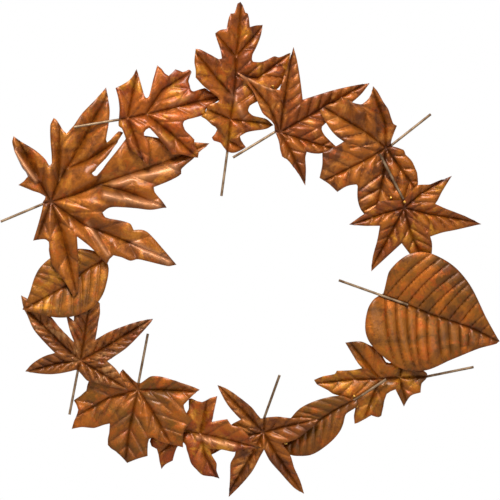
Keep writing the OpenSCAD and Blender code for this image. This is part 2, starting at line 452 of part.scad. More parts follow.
module linden_stem() stem(0);
module sweetgum_stem_right() stem(1);
module maple_stem_right() stem(2);
module sweetgum_stem_top() stem(3);
module oak_stem_top() stem(4);
module oak_stem_left() stem(5);
module big_maple_stem() stem(6);
module hazel_stem() stem(7);
module creeper_stem() stem(8);
module maple_stem_left() stem(9);
module oak_stem_bottom() stem(10);
module sweetgum_stem_bottom() stem(11);
module beech_stem() stem(12);
module oak_stem_right() stem(13);

module lap_brazes() {
    color([0.8, 0.6, 0.25]) stand_up() {
        for (n = [0 : last - 1]) lap_bead(n, n + 1, laps[n]);
        lap_bead(0, last, laps[last]);
    }
}

module front_brazes() {
    color([0.8, 0.6, 0.25]) stand_up()
        for (spot = front_spots) front_bead(spot[0], spot[1]);
}

linden_leaf();
sweetgum_leaf_right();
maple_leaf_right();
sweetgum_leaf_top();
oak_leaf_top();
oak_leaf_left();
big_maple_leaf();
hazel_leaf();
creeper_leaf();
maple_leaf_left();
oak_leaf_bottom();
sweetgum_leaf_bottom();
beech_leaf();
oak_leaf_right();
linden_stem();
sweetgum_stem_right();
maple_stem_right();
sweetgum_stem_top();
oak_stem_top();
oak_stem_left();
big_maple_stem();
hazel_stem();
creeper_stem();
maple_stem_left();
oak_stem_bottom();
sweetgum_stem_bottom();
beech_stem();
oak_stem_right();
lap_brazes();
front_brazes();
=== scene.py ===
# %% [markdown]
# # Harvest door wreath
# Fourteen leaves are stamped from thin sheet, folded and embossed along their veins, brazed
# to wire stems and lapped over one another in a ring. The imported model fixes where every
# piece sits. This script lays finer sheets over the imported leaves, stamps their veins, and
# gives every surface its finish.

# %% Load the frame
import math
from collections import namedtuple
import bmesh
import bpy
import numpy as np
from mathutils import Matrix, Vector
from mathutils.bvhtree import BVHTree
from mathutils.geometry import delaunay_2d_cdt


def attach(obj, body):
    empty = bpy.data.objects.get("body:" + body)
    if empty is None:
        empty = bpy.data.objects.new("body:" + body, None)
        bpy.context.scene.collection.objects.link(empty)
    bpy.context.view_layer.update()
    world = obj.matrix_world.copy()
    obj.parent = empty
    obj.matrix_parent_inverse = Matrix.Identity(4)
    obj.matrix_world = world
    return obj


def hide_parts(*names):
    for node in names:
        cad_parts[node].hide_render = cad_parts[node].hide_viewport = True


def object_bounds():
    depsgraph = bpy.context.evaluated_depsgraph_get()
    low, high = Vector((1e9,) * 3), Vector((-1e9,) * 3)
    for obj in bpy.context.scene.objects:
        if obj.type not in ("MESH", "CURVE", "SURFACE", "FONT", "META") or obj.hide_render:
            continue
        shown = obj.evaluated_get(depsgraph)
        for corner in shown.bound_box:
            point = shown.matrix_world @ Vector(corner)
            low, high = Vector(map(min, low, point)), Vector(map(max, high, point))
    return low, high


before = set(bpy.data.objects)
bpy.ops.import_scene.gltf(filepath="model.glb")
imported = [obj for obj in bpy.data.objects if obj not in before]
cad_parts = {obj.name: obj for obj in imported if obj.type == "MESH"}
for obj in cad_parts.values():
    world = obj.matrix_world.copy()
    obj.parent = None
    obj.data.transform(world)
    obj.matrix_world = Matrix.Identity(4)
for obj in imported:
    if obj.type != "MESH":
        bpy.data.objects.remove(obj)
cad_box = [list(corner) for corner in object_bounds()]
MM = 0.001
WREATH_D, DRAWN_D = 380, 373   # the wreath, and the ring that its leaves are drawn for
RING = WREATH_D / DRAWN_D
print("nodes in the frame:", len(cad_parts))

# %% [markdown]
# ## The vein plan of each leaf
# A stamped leaf is known by its veins: the folds of the sheet run along the main ones, and
# the side veins are pressed between them. Each plan is drawn in millimetres on a ring of
# DRAWN_D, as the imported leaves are. It holds:
# - base: the leaf's base on the ring
# - points: the points of its main veins, measured from that base
# - chains: the main veins, each a chain of marks, one mark for each point
# - spacing, lean: how far apart the side veins leave a main vein, and at how many degrees
# - swell, soon: how high the fields between veins stand, and how soon they get there
# - cut: how deep the side veins are pressed in

# %% Vein plans
Plan = namedtuple("Plan", "base points chains spacing lean swell soon cut")
MARKS = "0123456789abcdefghijklm"
PLANS = {
    "linden_leaf": Plan(
        (97, -33.5),
        [(2.5, -0.9), (21, -7.5), (39, -15), (54, -20), (68, -24.5), (80, -30.5)],
        ["012345"], 8.6, 74, 1.0, 1.8, 0.8),
    "sweetgum_leaf_right": Plan(
        (114, 39.5),
        [(1.5, -8), (14, 2.5), (26, 10), (19.5, -12.5), (40, -16), (6, -24.5), (12, -39),
         (-7, -24.5), (-16, -41), (-15, -12.5), (-29, -17.5)],
        ["012", "034", "056", "078", "09a"], 9.5, 44, 1.5, 2.6, 0.6),
    "maple_leaf_right": Plan(
        (106, 78.5),
        [(-4, -2), (-4.5, 15.5), (-10.5, 32), (-20, 10), (-37, 20), (-19, -11),
         (-37, -20), (-6, -24.5), (-10, -43), (7.5, -18)],
        ["012", "034", "056", "078", "09"], 12, 52, 2.4, 3.6, 0.5),
    "sweetgum_leaf_top": Plan(
        (19.5, 89),
        [(3, -1), (6, 19.5), (9.5, 42), (22, 10), (44, 22.5), (19.5, -6), (34, -10.5),
         (10.5, -14), (17, -27.5), (-5, 18), (-17, 33)],
        ["012", "034", "056", "078", "09a"], 9.5, 48, 1.6, 2.6, 0.6),
    "oak_leaf_top": Plan(
        (-17, 73.5),
        [(1, 8), (2.5, 24), (5, 40.5), (6.5, 57), (6.5, 71), (8.5, 85.5), (9.5, 99),
         (0, 78.5), (-8, 55), (-17, 66), (-9.5, 29), (23, 55.5), (36.5, 66),
         (18.5, 85), (18.5, 22.5), (6.5, 5)],
        ["0123456", "47", "289", "1a", "3bc", "4d", "1e", "0f"], 13, 48, 1.4, 3.0, 0.6),
    "oak_leaf_left": Plan(
        (-98, 97.5),
        [(6.5, 1), (20.5, 4), (35.5, 7.5), (50.5, 11.5), (62.5, 14.5), (10, 19),
         (32.5, 22.5), (44, 30), (38.5, -10), (50.5, -21), (12.5, -15)],
        ["01234", "05", "167", "189", "0a"], 17, 42, 1.2, 3.5, 0.3),
    "big_maple_leaf": Plan(
        (-154, 35),
        [(5, 1), (22, 6), (41, 14), (64, 22), (88, 30), (107, 38), (60, 9), (76, 3),
         (29, -16), (52, -25), (74, -34), (13, -22), (19, -46), (11, 17), (11, 40),
         (17, 26), (26, 42), (38, 65), (-4, 17), (-13, 35), (-1, -16), (32, 32),
         (49, 43)],
        ["012345", "267", "089a", "0bc", "0de", "dfgh", "flm", "0ij", "0k"],
        26, 42, 2.2, 7.0, 0.25),
    "hazel_leaf": Plan(
        (-109, -6),
        [(-4, -3), (-15, -10), (-29, -21), (-43, -29), (-52, -34)],
        ["01234"], 8.6, 58, 0.9, 2.4, 0.4),
    "creeper_leaf": Plan(
        (-129, -90),
        [(2, 7), (-12, 19), (-27, 34), (4.5, 22), (7, 39), (19.5, 16.5), (39, 28.5),
         (19, -3), (29, -9), (-15, 5), (-28, 1.5)],
        ["012", "034", "056", "078", "09a"], 7.6, 44, 1.6, 2.0, 0.7),
    "maple_leaf_left": Plan(
        (-84, -101),
        [(0, -4), (-3, -17), (-6.5, -34), (-8, -46.5), (-22, -10), (-37.5, -19), (-6, 3),
         (9, -17), (18, -32), (15, -4), (30, -4.5)],
        ["0123", "045", "06", "078", "09a"], 13, 45, 1.3, 3.5, 0.45),
    "oak_leaf_bottom": Plan(
        (-52.5, -135),
        [(4.5, -1), (15, -3), (26, -5), (39, -8), (51, -11), (18.5, 13), (18.5, -19),
         (24, -28.5), (-7.5, -11)],
        ["01234", "15", "167", "08"], 13, 45, 1.2, 3.0, 0.35),
    "sweetgum_leaf_bottom": Plan(
        (11, -125),
        [(-1, -12), (-12, 0), (-25, 13), (-16.5, -15), (-32, -20.5), (-11, -31),
         (-20, -46), (9, -28.5), (20, -45), (14, -7.5), (28.5, -4)],
        ["012", "034", "056", "078", "09a"], 10, 42, 1.3, 2.4, 0.5),
    "beech_leaf": Plan(
        (78, -112.5),
        [(-4, -2), (-15, -8), (-27, -16), (-38, -24), (-47, -31)],
        ["01234"], 7.6, 52, 1.1, 2.2, 0.4),
    "oak_leaf_right": Plan(
        (133.5, -95),
        [(-7, 0), (-21, -1), (-36, -2), (-55, -2.5), (-70, -4), (-46.5, 11), (-42, -17),
         (-18, -12), (-19, 10)],
        ["01234", "25", "26", "17", "18"], 12, 45, 1.2, 3.0, 0.35),
}
print("leaves planned:", len(PLANS), "main veins:", sum(len(p.chains) for p in PLANS.values()))

# %% [markdown]
# ## Bends
# After stamping, a few lobes were bent by hand to catch the light. A bend is a line across
# the wreath, in millimetres, how far the sheet comes forward along it, how wide that
# reaches, and how strong a painted highlight is laid along its crest.

# %% Bends made by hand
# The last number of each bend is the strength of a painted highlight along its crest.
BENDS = {
    "big_maple_leaf": [((-179, 75), (-163, 53), 3.2, 2.0, 0.9),
                       ((-110, 42), (-70, 34), 2.6, 3.6, 0.55),
                       ((-88, 5), (-62, -9), 2.2, 3.4, 0.55),
                       ((-124, 20), (-108, -4), 1.6, 2.4, 0.4),
                       ((-104, 50), (-58, 63), 1.2, 4.0, 0.45)],
    "maple_leaf_left": [((-57, -98), (-46, -104), 2.0, 2.2, 0.3),
                        ((-78, -112), (-66, -128), 1.2, 3.0, 0.1)],
    "oak_leaf_top": [((-4, 100), (-14, 118), 1.2, 3.0, 0.2)],
    "oak_leaf_left": [((-60, 110), (-44, 118), 1.4, 3.0, 0.2),
                      ((-72, 92), (-60, 80), 1.6, 2.6, 0.2)],
    "oak_leaf_bottom": [((-40, -143), (-12, -149), 1.4, 2.6, 0.5)],
    "sweetgum_leaf_top": [((-8, 133), (17, 122), 0.8, 1.7, 0.4)],
    "sweetgum_leaf_bottom": [((31, -118), (47, -116), 0.8, 2.2, 0.35)],
}
print("bends:", sum(len(bends) for bends in BENDS.values()))

# %% [markdown]
# ## Measuring on the flat leaf
# Stamping works on the flat blank, so these helpers measure in the leaf's own plane: which
# points lie inside the outline, and how far each one is from a set of drawn lines. They take
# whole arrays of points where they can, because a leaf has about ten thousand of them.

# %% Measuring helpers
TINY = 1e-9


def inside(points, loop):
    """True for each point that lies inside the closed loop."""
    result = np.zeros(len(points), bool)
    ends = np.roll(loop, -1, axis=0)
    for a, b in zip(loop, ends):
        crosses = (a[1] > points[:, 1]) != (b[1] > points[:, 1])
        rise = b[1] - a[1] if b[1] != a[1] else TINY
        at = a[0] + (points[:, 1] - a[1]) / rise * (b[0] - a[0])
        result ^= crosses & (points[:, 0] < at)
    return result


def holds(loop, point):
    """True where one point lies inside the closed loop."""
    x, y = point
    a, b = loop, np.roll(loop, -1, axis=0)
    crosses = (a[:, 1] > y) != (b[:, 1] > y)
    a, b = a[crosses], b[crosses]
    at = a[:, 0] + (y - a[:, 1]) / (b[:, 1] - a[:, 1]) * (b[:, 0] - a[:, 0])
    return bool(np.sum(x < at) % 2)


def distance(points, starts, ends):
    """Distance from each point to the nearest of the segments."""
    best = np.full(len(points), np.inf)
    for a, b in zip(starts, ends):
        way = b - a
        share = np.clip((points - a) @ way / max(way @ way, TINY), 0, 1)
        gap = points - a - share[:, None] * way
        best = np.minimum(best, np.einsum("ij,ij->i", gap, gap))
    return np.sqrt(best)


def segments(lines):
    """The starts and the ends of every segment of some lines."""
    return (np.concatenate([line[:-1] for line in lines]),
            np.concatenate([line[1:] for line in lines]))


print("helpers ready")

# %% [markdown]
# ## The blank
# The blank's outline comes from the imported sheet: the edge of its front. A copy of the mesh
# is merged first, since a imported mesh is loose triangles. The corners stay sharp, and the
# runs between them are rounded by splitting each span where a smooth curve through its
# neighbours passes.

# %% Outline of a leaf
MERGE = 1e-6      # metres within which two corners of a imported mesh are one
FACING = -0.02    # a face of the front looks this much to -Y or more
CORNER = 0.6      # a turn of the outline, in radians, that stays sharp


def blank(node):
    """The outline of a leaf's front in millimetres, and the sheet to read heights from."""
    shell = bmesh.new()
    shell.from_mesh(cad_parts[node].data)
    bmesh.ops.remove_doubles(shell, verts=shell.verts, dist=MERGE)
    bmesh.ops.delete(shell, geom=[f for f in shell.faces if f.normal.y >= FACING],
                     context="FACES")
    follows = {}
    for edge in shell.edges:
        if len(edge.link_loops) == 1:
            loop = edge.link_loops[0]
            follows[loop.vert] = loop.link_loop_next.vert
    start = at = max(follows, key=lambda v: v.co.x)
    outline = []
    while True:
        outline.append((at.co.x / MM, at.co.z / MM))
        at = follows[at]
        if at is start:
            break
    sheet = BVHTree.FromBMesh(shell)
    shell.free()
    return np.array(outline), sheet


def rounded(loop):
    """The loop with each span split once, curved where neither of its ends is a corner."""
    before, after, beyond = np.roll(loop, 1, 0), np.roll(loop, -1, 0), np.roll(loop, -2, 0)
    a, b = loop - before, after - loop
    turn = np.abs(np.angle((b[:, 0] + 1j * b[:, 1]) / (a[:, 0] + 1j * a[:, 1])))
    soft = (turn < CORNER) & (np.roll(turn, -1) < CORNER)
    middle = (loop + after) / 2
    curved = (9 * (loop + after) - before - beyond) / 16
    split = np.where(soft[:, None], curved, middle)
    return np.stack([loop, split], axis=1).reshape(-1, 2)


print("outline points of the linden leaf:", len(blank("linden_leaf")[0]))

# %% [markdown]
# ## Veins on the blank
# Each main vein runs down its chain and on to the edge of its lobe. The side veins leave it
# in pairs, lean forward and bend a little towards the tip, and stop at the edge or where
# another main vein is nearer.

# %% Main veins
def main_lines(plan, loop):
    """The main veins of a leaf, each run on to the edge of its lobe."""
    base = np.array(plan.base)
    spots = (np.array(plan.points) + base) * RING
    mains = []
    for index, chain in enumerate(plan.chains):
        line = [spots[MARKS.index(mark)] for mark in chain]
        if index == 0:
            line.insert(0, base * RING)
        way = (line[-1] - line[-2]) / np.linalg.norm(line[-1] - line[-2])
        tip = line[-1]
        while holds(loop, tip + way):
            tip = tip + way
        mains.append(np.array(line + [tip]))
    return mains


print("main vein helper ready")

# %% Side veins
STRIDE, STRIDES = 1.5, 40       # the step along a side vein, and the most steps it takes
BEND = 0.009                    # share of its lean that it loses at each step
FIRST_PAIR, LAST_PAIR = 0.6, 3  # share of the spacing before the first, room at the tip
NEARER = 0.8                    # it stops where another main vein is nearer than this share
SHORTEST = 3                    # a side vein of no more points than this isn't pressed


def side_line(root, way, lean, line, others, loop):
    """The points of one side vein, from its root to where it stops."""
    at, track = root, [root]
    for step in range(STRIDES):
        turn = lean * (1 - BEND * step)
        c, s = math.cos(turn), math.sin(turn)
        at = at + STRIDE * np.array([c * way[0] - s * way[1], s * way[0] + c * way[1]])
        if not holds(loop, at):
            break
        if others and step > 1:
            own = distance(at[None], line[:-1], line[1:])[0]
            rest = min(distance(at[None], m[:-1], m[1:])[0] for m in others)
            if rest < own * NEARER:
                break
        track.append(at)
    return track


def thinned(track):
    """Every third point of a track, and its last one."""
    last = [track[-1]] if len(track) % 3 != 1 else []
    return np.array(track[::3] + last)


def side_lines(plan, mains, loop):
    """The side veins of a leaf, in pairs along each main vein."""
    sides = []
    for index, line in enumerate(mains):
        others = mains[:index] + mains[index + 1:]
        lengths = np.linalg.norm(np.diff(line, axis=0), axis=1)
        reach = plan.spacing * FIRST_PAIR
        while reach < lengths.sum() - LAST_PAIR:
            span = int(np.searchsorted(np.cumsum(lengths), reach))
            share = (reach - lengths[:span].sum()) / lengths[span]
            root = line[span] + share * (line[span + 1] - line[span])
            way = (line[span + 1] - line[span]) / lengths[span]
            for side in (-1, 1):
                lean = math.radians(plan.lean) * side
                track = side_line(root, way, lean, line, others, loop)
                if len(track) > SHORTEST:
                    sides.append(thinned(track))
            reach += plan.spacing
    return sides


print("side vein helpers ready")

# %% [markdown]
# ## Laying the sheet
# A press needs a fine, even sheet to show its tool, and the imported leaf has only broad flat
# panels. Cutting those up by hand would leave slivers that shade badly, so the sheet is laid
# again: an even net of points fills the outline, with extra rows along the main veins, and a
# Delaunay triangulation joins them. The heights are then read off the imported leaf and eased,
# so that its hard folds become the soft ones of a pressed sheet.

# %% Lay the net
STEP = 0.8                       # between two points of the net
ROW = STEP * 0.866               # between two rows of even triangles
VEIN_ROOM = 0.45 * STEP          # kept clear of net points beside a main vein
EDGE_ROOM, ROW_ROOM = 0.45, 0.4  # kept clear beside the edge, of net and of vein points
SAME_POINT = 1e-5                # two points closer than this become one


def net_of(loop, mains):
    """The points and the triangles of a flat leaf."""
    low, high = loop.min(0), loop.max(0)
    xs = np.arange(low[0], high[0], STEP)
    ys = np.arange(low[1], high[1], ROW)
    net = np.array([(x + (j % 2) * STEP / 2, y) for j, y in enumerate(ys) for x in xs])
    net = net[inside(net, loop)]
    rows = []
    for a, b in zip(*segments(mains)):
        count = max(1, int(np.linalg.norm(b - a) / STEP))
        rows += [a + (b - a) * i / count for i in range(count)]
    rows = np.array(rows)
    rows = rows[inside(rows, loop)]
    edge = loop, np.roll(loop, -1, 0)
    clear = (distance(net, *segments(mains)) > VEIN_ROOM) & (distance(net, *edge) > EDGE_ROOM)
    rows = rows[distance(rows, *edge) > ROW_ROOM]
    points = [Vector(p) for p in np.concatenate([loop, rows, net[clear]])]
    made = delaunay_2d_cdt(points, [], [list(range(len(loop)))], 1, SAME_POINT)
    return np.array([tuple(v) for v in made[0]]), [tuple(f) for f in made[2]]


print("net helper ready")

# %% Heights of the net
EASINGS, EASE_SHARE = 10, 0.6    # times that the heights are eased, and how much each time


def heights(flat, sheet):
    """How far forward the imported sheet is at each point, in millimetres."""
    level = np.empty(len(flat))
    for i, (x, z) in enumerate(flat):
        hit = sheet.ray_cast(Vector((x * MM, -1, z * MM)), Vector((0, 1, 0)))[0]
        if hit is None:
            hit = sheet.find_nearest(Vector((x * MM, 0, z * MM)))[0]
        level[i] = -hit.y / MM
    return level


def eased(level, faces, rim):
    """The heights drawn towards their neighbours', those of the rim along the rim only."""
    pairs = {tuple(sorted((f[i], f[i - 1]))) for f in faces for i in range(3)}
    a, b = np.array(sorted(pairs)).T
    a_takes, b_takes = (~rim[a] | rim[b]).astype(float), (~rim[b] | rim[a]).astype(float)
    weight = np.zeros(len(level))
    np.add.at(weight, a, a_takes)
    np.add.at(weight, b, b_takes)
    for _ in range(EASINGS):
        total = np.zeros(len(level))
        np.add.at(total, a, a_takes * level[b])
        np.add.at(total, b, b_takes * level[a])
        level = (1 - EASE_SHARE) * level + EASE_SHARE * total / np.maximum(weight, TINY)
    return level


print("height helpers ready")

# %% [markdown]
# ## Pressing
# The press is a sum of soft steps, each a function of how far a point is from a vein or from
# the edge: the fields between the veins swell, the main veins and the side veins are pressed
# in as grooves, and the edge rolls back. Heights in code were chosen over sculpting, because
# every vein then has the same tool mark, as on a real stamping. The same distances are
# stored on the sheet, for its finish to darken the grooves and the edge.

# %% Press tool
MAIN_CUT, MAIN_HALF = 0.85, 0.75   # depth and half width of a main vein's groove
SIDE_HALF, SIDE_START = 0.7, 1.8   # half width of a side vein's, its start off the main vein
EDGE_ROLL, EDGE_HALF = 0.35, 0.9   # how far the edge rolls back, and how soon
FIELD_IN = 2.2                     # how soon a field starts in from the edge
HIGHLIGHT_SHARE = 0.7                    # how much of a bend's reach the painted highlight covers
FRONT = -cad_box[0][1] / MM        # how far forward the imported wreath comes
LIMIT, GIVE = FRONT - 1.0, 1.1     # where the sheets are held back, and how much is left


def crest(gap, half):
    """1 on a line, falling softly to about a third at a half width and then to 0."""
    return np.exp(-(gap / half) ** 2)


def pressed(node, level, flat, to_edge, to_main, to_side):
    """The heights with the veins pressed in, and how strong a painted highlight is at each
    point.
    """
    plan = PLANS[node]
    field = 1 - np.exp(-to_edge / FIELD_IN)
    level = level + plan.swell * (1 - np.exp(-np.minimum(to_main, to_side) / plan.soon)) * field
    painted_highlight = np.zeros(len(flat))
    # Each bend lifts the sheet and lays a painted highlight along its crest.
    for start, end, rise, reach, highlight in BENDS.get(node, []):
        gap = distance(flat, [np.array(start)], [np.array(end)])
        level += rise * crest(gap, reach)
        painted_highlight = np.maximum(painted_highlight, highlight * crest(gap, HIGHLIGHT_SHARE * reach))
    level -= MAIN_CUT * crest(to_main, MAIN_HALF)
    level -= plan.cut * crest(to_side, SIDE_HALF) * field * (1 - crest(to_main, SIDE_START))
    level -= EDGE_ROLL * crest(to_edge, EDGE_HALF)
    over = level - LIMIT
    held = LIMIT + GIVE * (1 - np.exp(-np.maximum(over, 0) / GIVE))
    return np.where(over > 0, held, level), painted_highlight


print("the sheets stay behind", round(LIMIT + GIVE, 2), "mm")

# %% [markdown]
# ## Making the leaves
# Each leaf is laid, eased and pressed, and Solidify gives it the thickness of its sheet, to
# the back, so that its front stays where it was pressed. Shading is smooth over the swells
# and sharp at the cut edge.

# %% Stamp the leaves
SHEET = 0.6                        # thickness of the sheet
SMOOTH_UNDER = math.radians(55)    # a fold flatter than this is shaded smooth
ON_EDGE = 1e-3                     # a point this near to the edge is on it
MAIN_DARK, SIDE_DARK = 0.9, 0.5    # how much stain each groove holds
MAIN_SPREAD, SIDE_SPREAD = 1.6, 1.1    # how far it spreads from a groove
EDGE_SPREAD = 1.3                      # and from the edge


def sheet_object(name, flat, level, faces, fields):
    """A leaf's front as an object, with its fields stored as attributes."""
    mesh = bpy.data.meshes.new(name)
    mesh.from_pydata([(x * MM, -h * MM, z * MM) for (x, z), h in zip(flat, level)], [], faces)
    for field, values in fields.items():
        points = mesh.attributes.new(field, "FLOAT", "POINT").data
        points.foreach_set("value", np.clip(values, 0, 1).astype(np.float32))
    piece = bpy.data.objects.new(name, mesh)
    bpy.context.scene.collection.objects.link(piece)
    return piece


def finish_sheet(piece):
    """The front turned to face forward, then given its thickness."""
    bpy.ops.object.select_all(action="DESELECT")
    piece.select_set(True)
    bpy.context.view_layer.objects.active = piece
    bpy.ops.object.mode_set(mode="EDIT")
    bpy.ops.mesh.select_all(action="SELECT")
    bpy.ops.mesh.normals_make_consistent(inside=False)
    bpy.ops.object.mode_set(mode="OBJECT")
    if sum(p.normal.y * p.area for p in piece.data.polygons) > 0:
        piece.data.flip_normals()
    wall = piece.modifiers.new("sheet", "SOLIDIFY")
    wall.thickness = SHEET * MM
    wall.offset = -1
    bpy.ops.object.modifier_apply(modifier="sheet")
    bpy.ops.object.shade_smooth_by_angle(angle=SMOOTH_UNDER)


def stamped(node):
    """A leaf piece, laid, eased and pressed over its packed sheet."""
    outline, sheet = blank(node)
    loop = rounded(rounded(outline))
    mains = main_lines(PLANS[node], loop)
    sides = side_lines(PLANS[node], mains, loop)
    flat, faces = net_of(loop, mains)
    to_edge = distance(flat, loop, np.roll(loop, -1, 0))
    to_main = distance(flat, *segments(mains))
    to_side = distance(flat, *segments(sides))
    level = eased(heights(flat, sheet), faces, to_edge < ON_EDGE)
    level, painted_highlight = pressed(node, level, flat, to_edge, to_main, to_side)
    piece = sheet_object(node + "_stamped", flat, level, faces, {
        "vein": (MAIN_DARK * np.exp(-to_main / MAIN_SPREAD)
                 + SIDE_DARK * np.exp(-to_side / SIDE_SPREAD)),
        "margin": np.exp(-to_edge / EDGE_SPREAD),
        # A painted highlight along the crests of the bends.
        "painted_highlight": painted_highlight,
    })
    finish_sheet(piece)
    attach(piece, "root")
    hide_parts(node)
    return piece


leaves = {}
for node in PLANS:
    leaves[node] = stamped(node)
    print(node, "faces:", len(leaves[node].data.polygons))

# %% [markdown]
# ## Shader maths
# One small class wraps a shader socket, so that a finish can be written as a plain sum. It
# keeps the materials short enough to read beside the real surface.

# %% Shader helper
class Val:
    """A shader socket that Python's operators turn into Math nodes."""
    def __init__(self, tree, socket):
        self.tree, self.socket = tree, socket

    def node(self, kind, settings=None, out=0, **inputs):
        """A new node: settings first, then its inputs by name, or by number as _0."""
        made = self.tree.nodes.new(kind)
        for key, value in (settings or {}).items():
            setattr(made, key, value)
        for key, value in inputs.items():
            name = int(key[1:]) if key[0] == "_" else key.replace("_", " ")
            if isinstance(value, Val):
                self.tree.links.new(value.socket, made.inputs[name])
            else:
                made.inputs[name].default_value = value
        return Val(self.tree, made.outputs[out])

    def maths(self, operation, a, b=0.0, clamp=False):
        """A Math node on two values."""
        settings = {"operation": operation, "use_clamp": clamp}
        return self.node("ShaderNodeMath", settings, _0=a, _1=b)

    def __add__(self, other):
        return self.maths("ADD", self, other)

    def __radd__(self, other):
        return self.maths("ADD", other, self)

    def __mul__(self, other):
        return self.maths("MULTIPLY", self, other)

    def __rmul__(self, other):
        return self.maths("MULTIPLY", other, self)

    def held(self):
        """This value, kept between 0 and 1."""
        return self.maths("ADD", self, 0.0, True)

    def mix(self, a, b):
        """Colour a where this is 0, colour b where it is 1."""
        return self.node("ShaderNodeMix", {"data_type": "RGBA"}, 2, _0=self, _6=a, _7=b)

    def feeds(self, shader, name):
        """Links this value to an input of a shader."""
        self.tree.links.new(self.socket, shader.inputs[name])


def finish(name):
    """A new material: its tree as a helper, its surface shader and its own coordinates."""
    material = bpy.data.materials.new(name)
    material.use_nodes = True
    shader = material.node_tree.nodes["Principled BSDF"]
    kit = Val(material.node_tree, None)
    place = kit.node("ShaderNodeTexCoord", out="Object")
    return material, kit, shader, place


def noise(kit, place, scale, detail, rough=0.5, warp=0.0):
    """Soft noise on a piece's own coordinates."""
    return kit.node("ShaderNodeTexNoise", Vector=place, Scale=scale, Detail=detail,
                    Roughness=rough, Distortion=warp)


def band(value, low, high):
    """0 where a value is under low, 1 where it is over high."""
    return value.node("ShaderNodeMapRange", Value=value, From_Min=low, From_Max=high)


def rgb(r, g, b):
    """A colour given as screen values up to 255, in the linear values a shader takes."""
    return tuple(((c / 255 + 0.055) / 1.055) ** 2.4 if c > 10 else c / 3294
                 for c in (r, g, b)) + (1.0,)


print("shader helper ready")

# %% [markdown]
# ## Leaf finish
# The leaves are copper coloured, then stained unevenly: rust orange, red brown, gold and
# olive clouds run into each other, the grooves and the cut edges hold the dark stain, and a
# clear lacquer gives the whole a soft gloss. Noise on the piece's own coordinates makes the
# clouds, and the attributes stored by the press say where stain gathers and where a pale
# highlight is painted along a bend's crest.

# %% Leaf finish
PATTERN_STEP = (0.37, 0.11, 0.23)    # how far the pattern moves from leaf to leaf
FLECK, STAIN, SMUT = rgb(180, 76, 14), rgb(86, 42, 10), rgb(88, 40, 9)
# The last colour is a painted highlight, laid pale along the crests of the bends.
GROOVE, SPECK, PAINTED_HIGHLIGHT = rgb(66, 30, 8), rgb(52, 26, 8), rgb(216, 152, 106)


def stored(kit, name):
    """A value that the press stored on the sheet."""
    return kit.node("ShaderNodeAttribute", {"attribute_name": name}, "Fac")


def leaf_tint(kit, spot, main, cloud, glow, stains, dark):
    """The leaf's colour: clouds, stains and specks, then its grooves and the highlight painted
    along its bends.
    """
    clouds = band(noise(kit, spot, 42, 5, 0.6, 1.0), 0.44, 0.58)
    glows = band(noise(kit, spot, 60, 5, 0.6, 0.6), 0.52, 0.64)
    flecks = band(noise(kit, spot, 120, 6, 0.7, 0.8), 0.53, 0.64)
    smuts = band(noise(kit, spot, 85, 6, 0.7, 1.4), 0.54, 0.66)
    specks = band(noise(kit, spot, 900, 2), 0.62, 0.75)
    grooves = stored(kit, "vein") * 0.8 + stored(kit, "margin") * 0.5
    tint = glows.mix(clouds.mix(main, cloud), glow)
    tint = (flecks * 0.55).mix(tint, FLECK)
    tint = (stains * dark).mix(tint, STAIN)
    tint = (smuts * 0.6).mix(tint, SMUT)
    tint = (grooves * (0.65 + clouds * 0.35)).held().mix(tint, GROOVE)
    tint = (specks * 0.35).mix(tint, SPECK)
    # A painted highlight: the crests of the bends are laid pale.
    return stored(kit, "painted_highlight").mix(tint, PAINTED_HIGHLIGHT)


def leaf_finish(name, main, cloud, glow, dark, seed):
    """The stained and lacquered finish of one leaf, its pattern moved by its seed."""
    material, kit, shader, place = finish(name)
    away = tuple(seed * step for step in PATTERN_STEP)
    spot = kit.node("ShaderNodeMapping", Vector=place, Location=away)
    stains = band(noise(kit, spot, 26, 6, 0.65, 1.2), 0.5, 0.7)
    grain = noise(kit, spot, 420, 5, 0.6)
    dimples = noise(kit, spot, 150, 4, 0.6, 0.8)
    leaf_tint(kit, spot, main, cloud, glow, stains, dark).feeds(shader, "Base Color")
    (0.36 + stains * 0.16 + grain * 0.12).feeds(shader, "Roughness")
    kit.node("ShaderNodeBump", Height=grain + dimples * 3.0, Strength=0.45,
             Distance=0.6 * MM).feeds(shader, "Normal")
    shader.inputs["Metallic"].default_value = 0.35
    shader.inputs["Coat Weight"].default_value = 0.3
    shader.inputs["Coat Roughness"].default_value = 0.27
    shader.inputs["Specular IOR Level"].default_value = 0.05
    return material


print("leaf finish ready")

# %% [markdown]
# ## The stains of each leaf
# No two leaves were stained alike, so each has its own three colours, of the sheet, its
# clouds and its glows, and its own strength of dark stain.

